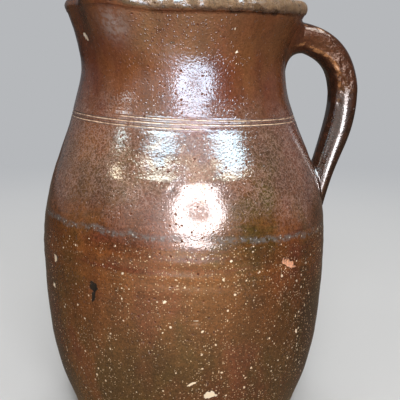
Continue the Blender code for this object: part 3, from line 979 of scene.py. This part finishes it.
def rim_marks(coat):
    """Adds the worn rim and the shade under it, and gives the rim's share of the surface."""
    edge = coat.plus(coat.field("rim_gap"), coat.swing(coat.noise(150, 6, 0.2), RIM_WANDER))
    coat.lay(DARK_CHIP_AND_SHADE, (edge, *RIM_SHADE), (coat.noise(90, 4, 8.2), 0.45, 0.65, 0.35, 0.95))
    wear = coat.plus((edge, *RIM_WEAR), coat.swing(coat.noise(130, 6, 0.6), 0.5))
    worn = coat.mix((wear, 0.1, 0.9), RIM_BROWN, RIM_TAN)
    rim = coat.ramp(edge, *RIM_EDGE)
    coat.lay(coat.grain(worn, PLAIN_GRAIN), rim)
    return rim


def chip_marks(coat):
    """Adds the ragged chips, painted shade round the clay chip's edge, a painted glint, the soot and
    the bare foot, and gives the share without glaze.
    """
    ragged = coat.swing(coat.noise(420, 3, 0.4), 0.22)
    marks = ("chip", "pale", "soot", "dark")
    chip_edge, pale, soot, dark = (coat.plus(coat.field(name), ragged) for name in marks)
    chip, pale = coat.ramp(chip_edge, 1.02, 0.92), coat.ramp(pale, 1.02, 0.92)
    foot = coat.ramp(coat.field("foot"), 0.3, 0.7)
    # Painted shade round the edge of the clay chip
    coat.lay(DARK_CHIP_AND_SHADE, (chip_edge, 1.35, 1.05, 0, 0.75))
    coat.lay(coat.grain(CHIP_ORANGE, CHIP_GRAIN), chip)
    coat.lay(DARK_CHIP_AND_SHADE, (dark, 1.1, 0.7, 0, 0.85))
    # Cream of the pale chips, and of a painted glint in the dimple
    coat.lay(CHIP_AND_GLINT_CREAM, pale)
    coat.lay(SOOT, (soot, 1.05, 0.85))
    coat.lay(BARE_CLAY, foot)
    return coat.most(chip, pale, foot)


def body_sheen(coat, line_gap, rubbed_rim, pits):
    """Tint of the highlights: a thin film, violet on the neck, blue and warm below, then plain."""
    film = coat.plus(line_gap, coat.swing(coat.noise(60, 4, 5.1), FILM_WANDER))
    tint = coat.mix((film, 0.049, 0.038), SHEEN_BLUE, SHEEN_WARM)
    tint = coat.mix((film, 0.058, 0.068), tint, SHEEN_VIOLET)
    tint = coat.mix((film, 0.036, 0.028), tint, SHEEN_PLAIN)
    return coat.mix(pits, coat.mix(rubbed_rim, tint, SHEEN_RIM), SHEEN_PIT)


def glazed(coat, colour, roughness, normal, tint):
    """The glaze with its looks joined to the shader."""
    looks = {"Base Color": colour, "Roughness": roughness, "Normal": normal, "Specular Tint": tint}
    coat.feed(coat.shader.inputs, {**looks, "IOR": GLAZE_IOR})
    return coat.owner


def body_glaze():
    """Brown salt glaze: warm on the neck, plum on the shoulder, rusty and speckled below."""
    coat = Coat(bpy.data.materials.new("brown_salt_glaze"))
    line_gap, middle = coat.field("line_gap"), coat.noise(75, 4, 0.9)
    height = coat.plus(line_gap, coat.swing(middle, BAND_WANDER))
    shoulder = coat.times((height, 0.082, 0.058), (height, 0.000, 0.024))
    ground_glaze(coat, line_gap, height, shoulder)
    glaze_marks(coat, line_gap, middle)
    rim, bare, pits = rim_marks(coat), chip_marks(coat), specks(coat, *BODY_PITS)
    # Pits darkened: painted shade in the pits, and dark specks of the glaze
    coat.lay(DARK_CHIP_AND_SHADE, pits, 0.5)
    rubbed_rim = coat.times(rim, (coat.noise(140, 4, 3.9), 0.44, 0.60, 0.95, 0.12))
    worn = coat.most(bare, rubbed_rim, coat.times(coat.field("burr"), 0.5), pits)
    roughness = coat.plus(coat.times(worn, BARE_ROUGHNESS), (middle, 0.3, 0.7, 0.07, 0.13))
    skin = coat.plus((height, 0.058, 0.072, 0, 0.45), (height, 0.032, 0.018, 0.75, 0.65))
    skin = coat.plus(skin, (height, 0.085, 0.110, 0, 0.8))
    peel = orange_peel(coat, BODY_PEEL, pits, skin)
    return glazed(coat, coat.colour, roughness, peel, body_sheen(coat, line_gap, rubbed_rim, pits))


def handle_glaze(name):
    """Dark glossy glaze, brown and worn to tan along the pulling strokes over the upper bend.

    The luting clay takes the body's colour at its toe, on the neck and on the shoulder.
    """
    coat = Coat(bpy.data.materials.new(name))
    along_t, middle = coat.field("along"), coat.noise(190, 4, 1.1)
    upper, toe = coat.ramp(along_t, 0.62, 0.34), coat.ramp(coat.field("toe"), 0.35, 0.95)
    coat.colour = HANDLE_DARK
    coat.lay(HANDLE_BROWN, (middle, 0.4, 0.7, 0, 0.5))
    coat.lay(HANDLE_BROWN, upper, (coat.field("outer"), -0.85, -0.45), (middle, 0.25, 0.5, 0.45, 1))
    coat.lay(ROOT_BROWN, (along_t, 0.20, 0.10, 0, 0.85))
    coat.lay(NECK_BROWN, toe, (along_t, 0.5, 0.4))
    coat.lay(SHOULDER_PLUM, toe, (along_t, 0.5, 0.6))
    rubbed = coat.noise(190, 6, 1.5, 0.75)
    coat.lay(HANDLE_TAN, (coat.field("stroke"), 0.30, 0.9), (rubbed, 0.46, 0.57), 0.85)
    dull = coat.times(upper, (middle, 0.3, 0.6, 0.4, 1))
    lumps = coat.bump(coat.times(coat.noise(330, 3, 2.9), upper), HANDLE_LUMP)
    peel = orange_peel(coat, HANDLE_PEEL, specks(coat, *HANDLE_PITS), 1, lumps)
    tint = coat.mix(upper, SHEEN_PLAIN, SHEEN_WORN)
    colour = coat.grain(coat.colour, PLAIN_GRAIN)
    return glazed(coat, colour, coat.ramp(dull, 0, 1, 0.09, 0.16), peel, tint)


def dress(piece, material):
    """Gives a piece its one material."""
    piece.data.materials.clear()
    piece.data.materials.append(material)


FLOOR_PALE = srgb(214, 214, 213)
FLOOR_LIT = srgb(98, 90, 80)
BACKDROP = srgb(182, 184, 187)
BLACK = (0.0, 0.0, 0.0)
FLOOR_HALF = 4.0
FLOOR_MOTTLE = 0.06
FLOOR_FADE = (0.25, 1.1)
# Warm pool of painted light on the floor, a glow seen only in the glaze's reflections
POOL_WARM = (1.0, 0.64, 0.32)
POOL_AZIMUTH = -1.0
POOL_DISTANCE = 0.60
POOL_RADIUS = 0.64
POOL_LEVEL = 3.1
GLOW_SIDES = 64
GLOW_RINGS = 40
FILL_TARGET = 0.14

# Light of the room, from a direction behind the pitcher to one in front of it
ROOM_LIGHT = {"From Min": -0.7, "From Max": 0.6, "To Min": 0.36, "To Max": 0.08}


def towards(azimuth, elevation):
    """Unit direction, in degrees: azimuth from the front, to the camera's right, and elevation."""
    a, e = FRONT + math.radians(azimuth), math.radians(elevation)
    return np.array([math.cos(a) * math.cos(e), math.sin(a) * math.cos(e), math.sin(e)])


def add_floor():
    """Plain pale floor, far wider than the view, that fades into the backdrop's colour far away.

    It throws less light on the pitcher than it shows. The glaze mirrors a warm pool of painted light on
    it, where the floor glows for glossy rays only.
    """
    corners = FLOOR_HALF * np.array([(-1, -1, 0), (1, -1, 0), (1, 1, 0), (-1, 1, 0)])
    floor = add_mesh("floor", corners, [(0, 1, 2, 3)])
    coat = Coat(bpy.data.materials.new("plain_floor"))
    seen = coat.node("ShaderNodeLightPath", (), "Is Camera Ray")
    mirrored = coat.node("ShaderNodeLightPath", (), "Is Glossy Ray")
    away = coat.node("ShaderNodeVectorMath", {0: coat.place}, "Value", operation="LENGTH")
    far = coat.ramp(away, *FLOOR_FADE)
    pale = coat.mix((coat.noise(3, 3.0), 0.3, 0.7, 0.0, FLOOR_MOTTLE), FLOOR_PALE, BACKDROP)
    places = {0: coat.place, 1: tuple(POOL_DISTANCE * towards(POOL_AZIMUTH, 0))}
    beside = coat.node("ShaderNodeVectorMath", places, "Value", operation="DISTANCE")
    # Painted light: the floor glows in a warm pool, for glossy rays only
    painted_light_pool = coat.times(mirrored, (beside, POOL_RADIUS, 0.0, 0.0, POOL_LEVEL))
    looks = {
        "Base Color": coat.mix(seen, FLOOR_LIT, coat.mix(far, pale, BLACK)),
        "Emission Color": coat.mix(seen, POOL_WARM, BACKDROP),
        "Emission Strength": coat.plus(coat.times(seen, far), painted_light_pool),
        "Roughness": 1.0,
        "Specular IOR Level": 0.0,
    }
    coat.feed(coat.shader.inputs, looks)
    dress(floor, coat.owner)


def add_fill(name, way, distance, size, radiance):
    """Oblong soft lamp for the even light, not seen in the glaze; radiance is how bright its face is."""
    lamp = bpy.data.lights.new(name, "AREA")
    lamp.shape = "RECTANGLE"
    lamp.size, lamp.size_y = size
    lamp.energy = radiance * math.pi * size[0] * size[1]
    holder = add_object(name, lamp)
    direction = towards(*way)
    holder.location = np.array([0, 0, FILL_TARGET]) + direction * distance
    holder.rotation_euler = Vector(direction).to_track_quat("Z", "Y").to_euler()
    holder.visible_camera = False
    holder.visible_glossy = False


def add_glow(name, way, distance, radius, stretch, level, radiance, target, colour):
    """Round lamp with soft edges, seen in the glaze only, that faces a point on the axis.

    It is a clear disc of rings, stretched sideways. The way is its azimuth and elevation, level gives
    how bright it is, 0 to 1, for a share of the radius, and target is the height of that point.
    """
    direction = towards(*way)
    across = np.cross((0, 0, 1), direction)
    across /= np.linalg.norm(across)
    over = np.cross(direction, across)
    angle = np.linspace(0, math.tau, GLOW_SIDES, endpoint=False)[None, :, None]
    share = np.linspace(0, 1, GLOW_RINGS + 1)[1:, None, None]
    circle = stretch * np.cos(angle) * across + np.sin(angle) * over
    middle = direction * distance + (0, 0, target)
    points = np.vstack([middle[None, :], (middle + radius * share * circle).reshape(-1, 3)])
    index = 1 + np.arange(GLOW_RINGS * GLOW_SIDES).reshape(GLOW_RINGS, GLOW_SIDES)
    beside = np.roll(index, -1, axis=1)
    quads = np.stack([index[:-1], index[1:], beside[1:], beside[:-1]], axis=-1).reshape(-1, 4)
    fan = np.stack([np.zeros(GLOW_SIDES, int), index[0], beside[0]], axis=-1)
    disc = add_mesh(name, points, fan.tolist() + quads.tolist())
    levels = np.append(level(np.zeros(1)), np.repeat(level(share.ravel()), GLOW_SIDES))
    add_field(disc.data, "glow", levels)
    coat = Coat(bpy.data.materials.new(name))
    strength = coat.times(coat.field("glow"), radiance)
    light = coat.node("ShaderNodeEmission", {"Color": (*colour, 1), "Strength": strength})
    both = coat.node("ShaderNodeAddShader", {0: light, 1: coat.node("ShaderNodeBsdfTransparent")})
    coat.feed(coat.tree.nodes["Material Output"].inputs, {"Surface": both})
    dress(disc, coat.owner)
    disc.visible_camera = False
    disc.visible_diffuse = False
    disc.visible_shadow = False


def ring_level(share):
    """Bright ring with a dim middle and a faint, wide skirt."""
    ring = np.maximum(ease(share, 0.10, 0.13), 0.18) * (1 - ease(share, 0.365, 0.11))
    return np.maximum(ring, 0.14 * (1 - ease(share)))


def broad_level(share):
    """Even, with a soft edge."""
    return 1 - ease(share, 0.65, 0.35)


def soft_level(share):
    """Brightest in the middle, fading to nothing at the edge."""
    return 1 - ease(share)


def add_world():
    """Grey room, dimmer in front than behind, that the camera sees as an even pale wall."""
    world = bpy.data.worlds.new("room")
    coat = Coat(world, "Generated")
    places = {0: coat.place, 1: towards(0, 0)}
    facing = coat.node("ShaderNodeVectorMath", places, "Value", operation="DOT_PRODUCT")
    level = coat.node("ShaderNodeMapRange", {"Value": facing, **ROOM_LIGHT})
    seen = coat.node("ShaderNodeLightPath", (), "Is Camera Ray")
    strength = coat.node("ShaderNodeMix", {0: seen, 2: level, 3: 1.0})
    coat.feed(coat.shader.inputs, {"Color": (*BACKDROP, 1), "Strength": strength})
    bpy.context.scene.world = world


def add_camera():
    """The photograph's view: its distance from the axis, height, pitch, aim and lens."""
    camera = bpy.data.cameras.new("camera")
    camera.lens = CAMERA_LENS
    camera.sensor_width = CAMERA_SENSOR
    camera.clip_start = CAMERA_NEAR
    holder = add_object("camera", camera)
    x, y = math.cos(FRONT) * CAMERA_DISTANCE, math.sin(FRONT) * CAMERA_DISTANCE
    holder.location = (x, y, CAMERA_HEIGHT)
    holder.rotation_euler = (math.pi / 2 - CAMERA_PITCH, 0, FRONT - 1.5 * math.pi - CAMERA_AIM)
    bpy.context.scene.camera = holder


# Lamps that the glaze mirrors, with what add_glow asks for
GLOWS = [
    ("ring_lamp", (10.5, 13.2), 0.60, 0.405, 1.22, ring_level, 22.0, 0.141, (1.0, 0.97, 1.0)),
    ("left_softbox", (-26.5, 53.5), 1.2, 0.48, 1.0, broad_level, 27.0, 0.170, (0.82, 0.93, 1.0)),
    ("right_softbox", (50.0, 48.5), 1.2, 0.44, 1.0, broad_level, 30.0, 0.170, (0.82, 0.94, 1.0)),
    ("side_window", (-62.5, 25.8), 1.19, 0.055, 2.7, broad_level, 19.0, 0.170, (1.0, 0.97, 0.88)),
    ("near_card", (-2.0, 9.5), 0.60, 0.42, 1.0, soft_level, 3.0, 0.141, (1.0, 0.93, 0.90)),
    ("left_card", (-39.0, 11.0), 0.7, 0.32, 1.0, soft_level, 1.6, 0.200, (1.0, 0.95, 0.88)),
    ("overhead_card", (12.0, 40.0), 1.2, 0.60, 1.0, soft_level, 3.0, 0.170, (1.0, 0.96, 0.94)),
]

# Lamps for the even light, with what add_fill asks for
FILLS = [
    ("front_fill", (4.0, 22.0), 1.3, (0.7, 0.7), 11.0),
    ("back_fill", (180.0, 35.0), 1.5, (1.4, 1.0), 2.9),
    ("top_fill", (0.0, 80.0), 1.5, (1.4, 1.4), 1.3),
]

body = thrown_body()
handle = pulled_handle()
upper_joint = joint_clay("glazed_upper_joint", "upper_joint_clay", ROOT_T, 1, *UPPER_FILLET)
lower_joint = joint_clay("glazed_lower_joint", "lower_joint_clay", TAIL_T, -1, *LOWER_FILLET)
dress(body, body_glaze())
dress(handle, handle_glaze("dark_handle_glaze"))
dark_joint = handle_glaze("dark_joint_glaze")
dress(upper_joint, dark_joint)
dress(lower_joint, dark_joint)

add_floor()
add_world()
for glow in GLOWS:
    add_glow(*glow)
for fill in FILLS:
    add_fill(*fill)
add_camera()
bpy.context.scene.view_settings.view_transform = "Standard"
